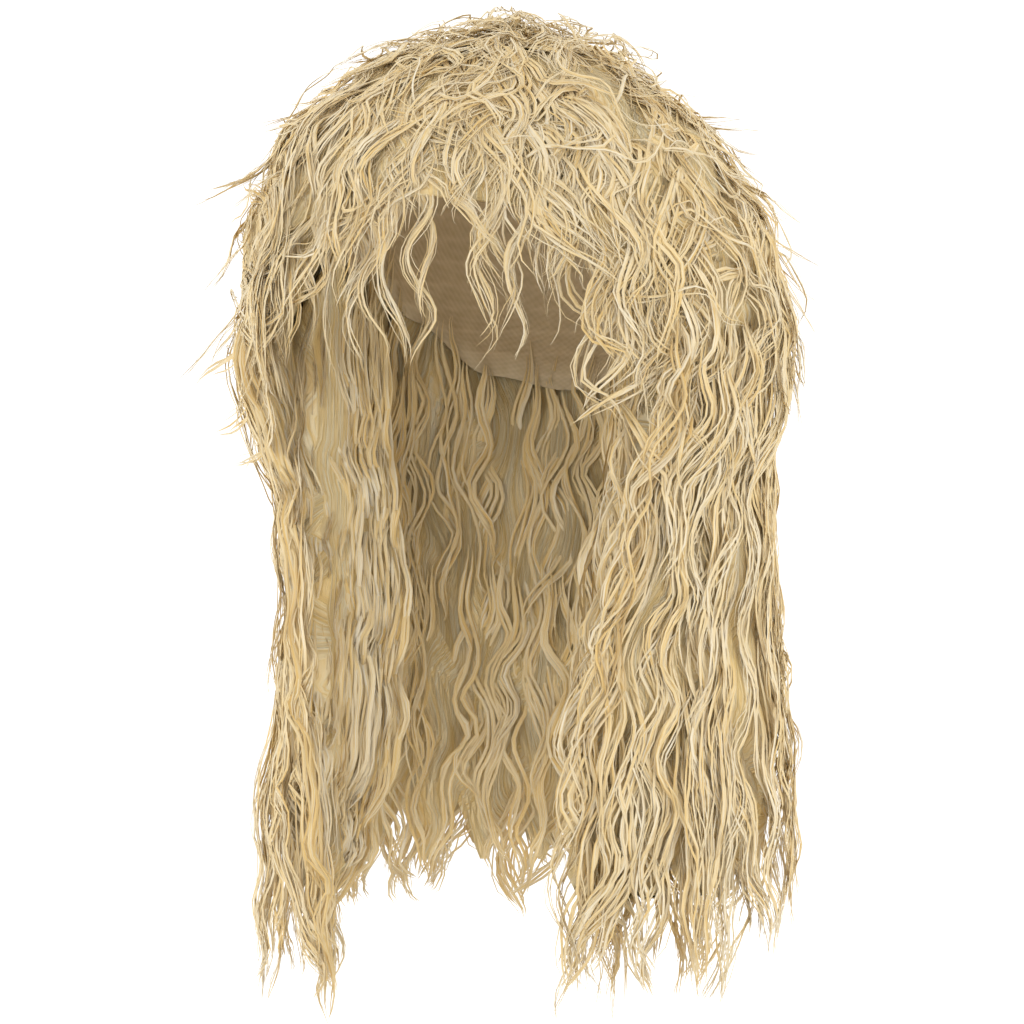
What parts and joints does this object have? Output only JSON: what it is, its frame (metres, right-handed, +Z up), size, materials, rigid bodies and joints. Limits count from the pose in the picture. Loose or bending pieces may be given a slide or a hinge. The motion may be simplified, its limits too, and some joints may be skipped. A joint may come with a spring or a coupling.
{
  "type": "curly wig",
  "caption": "Long shaggy blonde curly wig in layers over a hollow cap, with a wavy fringe and long locks that fall round the shoulders.",
  "frame": {"origin": "where the crown of the wearer's head meets the inside of the cap", "axes": "+Z up along the worn head, -Y the way the face looks, +X towards the wearer's left"},
  "size_m": [0.3107, 0.2702, 0.5033],
  "materials": {
    "hair": "crimped synthetic fibre, satin",
    "cap": "soft net and wefts, matt"
  },
  "bodies": {
    "root": {"wig_cap": "cap", "crown_hair": "hair", "fringe": "hair", "side_layer_left": "hair", "side_layer_right": "hair", "back_layer": "hair", "long_hair_left": "hair", "long_hair_right": "hair", "long_hair_back": "hair"}
  },
  "joints": []
}
